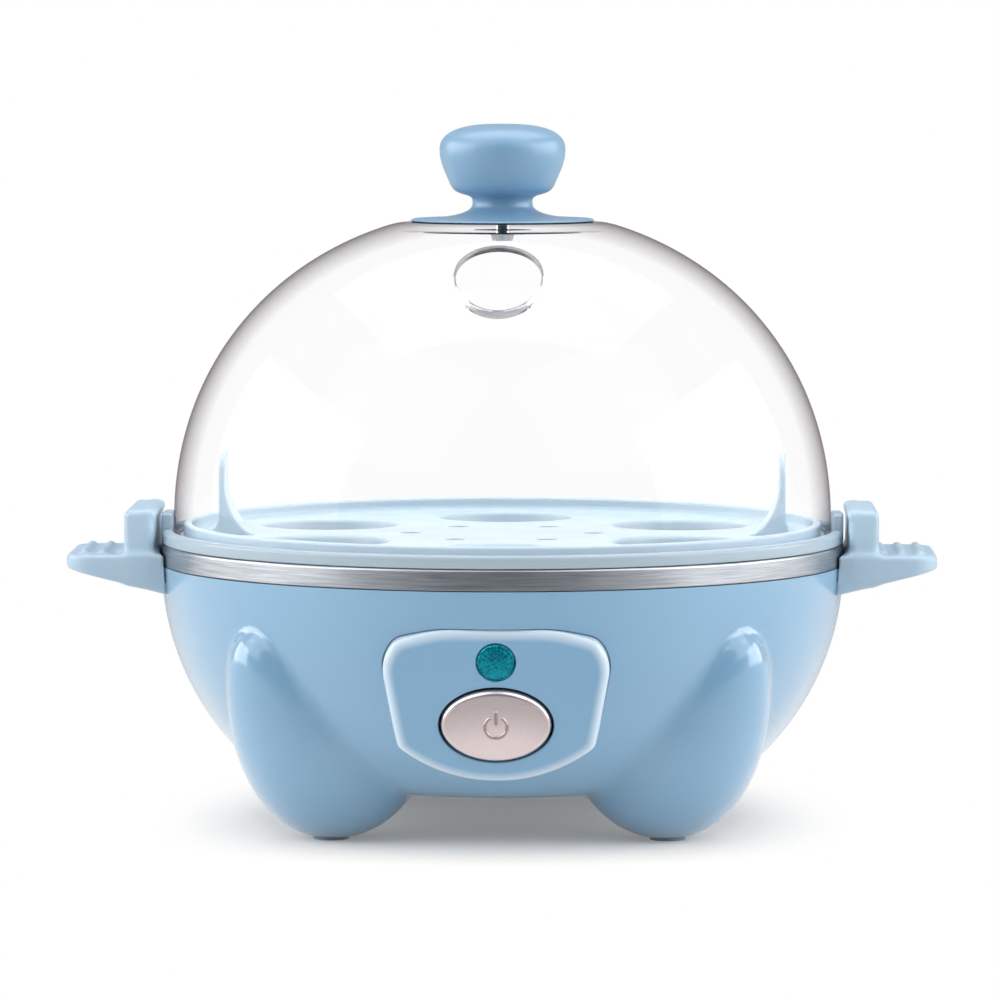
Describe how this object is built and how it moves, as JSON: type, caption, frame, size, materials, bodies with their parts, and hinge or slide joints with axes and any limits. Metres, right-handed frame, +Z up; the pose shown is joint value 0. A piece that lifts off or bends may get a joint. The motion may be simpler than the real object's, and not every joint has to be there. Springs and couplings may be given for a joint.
{
  "type": "egg cooker",
  "caption": "Countertop egg steamer: round bowl on egg-shaped legs, steel water pan, lift-out egg tray, clear vented dome with mushroom knob, side grips and front power button.",
  "frame": {"origin": "centre of the object's box on the surface that it stands on", "axes": "+X towards the right-hand grip seen from the front, +Y to the rear, +Z up; the control panel faces -Y"},
  "size_m": [0.208, 0.164, 0.1674],
  "materials": {
    "body_blue": "glossy moulded",
    "grip_blue": "glossy moulded, slightly translucent",
    "tray_blue": "glossy, translucent",
    "knob_blue": "glossy moulded",
    "clear_dome": "clear polished",
    "brushed_steel": "brushed around the rim",
    "screw_steel": "zinc plated",
    "aluminium": "bare sheet and casting",
    "element_steel": "heat-tinted sheath",
    "silicone": "matte",
    "rubber_grey": "matte",
    "black_plastic": "moulded",
    "white_plastic": "moulded",
    "white_ceramic": "unglazed",
    "teal_lens": "faceted, translucent",
    "lamp_glass": "clear",
    "button_silver": "satin silver"
  },
  "bodies": {
    "base": {"base_housing": "body_blue", "bottom_cover": "body_blue", "cover_screws": "screw_steel", "foot_pads": "rubber_grey", "side_handle_left": "grip_blue", "side_handle_right": "grip_blue", "handle_screws": "screw_steel", "heating_pan": "brushed_steel", "pan_gasket": "silicone", "pan_standoffs": "screw_steel", "pan_screws": "screw_steel", "heat_spreader": "aluminium", "heating_element": "element_steel", "thermostat": "black_plastic", "thermostat_bracket": "screw_steel", "bracket_screws": "screw_steel", "thermal_fuse": "white_ceramic", "heat_shield": "aluminium", "control_panel": "body_blue", "panel_screws": "screw_steel", "switch_bracket": "screw_steel", "power_switch": "black_plastic", "indicator_lens": "teal_lens", "indicator_lamp": "lamp_glass", "terminal_block": "white_ceramic", "cord_gland": "black_plastic"},
    "button": {"power_button": "button_silver", "switch_plunger": "white_plastic"},
    "tray": {"egg_tray": "tray_blue"},
    "lid": {"lid_dome": "clear_dome", "lid_knob": "knob_blue", "knob_screw": "screw_steel", "knob_washer": "black_plastic"}
  },
  "joints": [
    {"name": "tray_lift", "type": "slide", "parent": "base", "child": "tray", "axis": [0, 0, 1], "range_m": [0, 0.08]},
    {"name": "lid_lift", "type": "slide", "parent": "tray", "child": "lid", "axis": [0, 0, 1], "range_m": [0, 0.1]},
    {"name": "button_press", "type": "slide", "parent": "base", "child": "button", "axis": [0, 0.9781, 0.2079], "range_m": [0, 0.0025], "stiffness_N_per_m": 400, "springref_m": -0.003}
  ]
}
